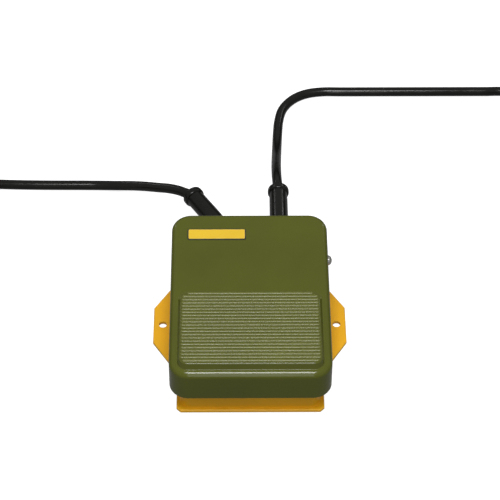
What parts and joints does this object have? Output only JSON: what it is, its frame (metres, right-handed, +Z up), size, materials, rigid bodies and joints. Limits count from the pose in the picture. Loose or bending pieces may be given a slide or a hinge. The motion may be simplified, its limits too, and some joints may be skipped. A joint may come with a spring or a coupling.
{
  "type": "foot switch",
  "caption": "Pedal foot switch: a ribbed rocking cover on a base tray with two screw-down ears, with a mains lead and plug and a short lead with a socket.",
  "frame": {"origin": "centre of the pedal cover's outline, on the surface that the rubber feet stand on, which is the bottom centre of the switch without its cords", "axes": "+X to the right, +Y from the foot pad to the cord entries at the rear, +Z up"},
  "size_m": [0.5508, 0.3359, 0.0529],
  "materials": {
    "cover_green": "semi-gloss olive green moulded nylon",
    "base_yellow": "semi-gloss golden yellow moulded nylon",
    "rubber_black": "black rubber",
    "cord_black": "smooth black cord sheath",
    "plug_black": "black moulded plastic",
    "steel": "plated steel",
    "brass": "plain brass",
    "switch_dark": "dark moulded plastic",
    "button_red": "red moulded plastic",
    "block_cream": "cream moulded plastic",
    "wire_brown": "brown wire insulation",
    "wire_blue": "blue wire insulation",
    "wire_green": "green and yellow wire insulation"
  },
  "bodies": {
    "base": {"base_tray": "base_yellow", "rubber_feet": "rubber_black", "return_spring_left": "steel", "return_spring_right": "steel", "stop_buffers": "rubber_black", "switch_case": "switch_dark", "switch_lid": "switch_dark", "switch_blades": "brass", "switch_screws": "steel", "terminal_block": "block_cream", "terminal_inserts": "brass", "terminal_screws": "steel", "block_screw": "steel", "clamp_bar_left": "block_cream", "clamp_bar_right": "block_cream", "clamp_screws": "steel", "brown_wires": "wire_brown", "blue_wires": "wire_blue", "earth_wires": "wire_green", "boot_left": "rubber_black", "boot_right": "rubber_black", "mains_cord_tail": "cord_black", "tool_cord_tail": "cord_black", "mains_cord": "cord_black", "mains_coil": "cord_black", "mains_plug": "plug_black", "plug_pins": "steel", "plug_earth_strips": "steel", "tool_cord": "cord_black", "tool_socket": "plug_black", "socket_contacts": "steel"},
    "pedal": {"pedal_cover": "cover_green", "hinge_pin": "steel", "pin_clip": "steel"},
    "lever": {"switch_lever": "steel"},
    "button": {"switch_button": "button_red"}
  },
  "joints": [
    {"name": "pedal_pivot", "type": "hinge", "parent": "base", "child": "pedal", "pos_m": [0, 0.044, 0.035], "axis": [1, 0, 0], "range_deg": [0, 4], "stiffness_Nm_per_rad": 18, "springref_deg": -3.44, "deforming": ["return_spring_left", "return_spring_right"]},
    {"name": "lever_pivot", "type": "hinge", "parent": "base", "child": "lever", "pos_m": [0, 0.01, 0.027], "axis": [1, 0, 0], "range_deg": [0, 8]},
    {"name": "button_slide", "type": "slide", "parent": "base", "child": "button", "axis": [0, 0, -1], "range_m": [0, 0.00126]}
  ],
  "couplings": [
    {"joint": "lever_pivot", "follows": "pedal_pivot", "ratio": 2},
    {"joint": "button_slide", "follows": "pedal_pivot", "m_per_rad": 0.018}
  ]
}
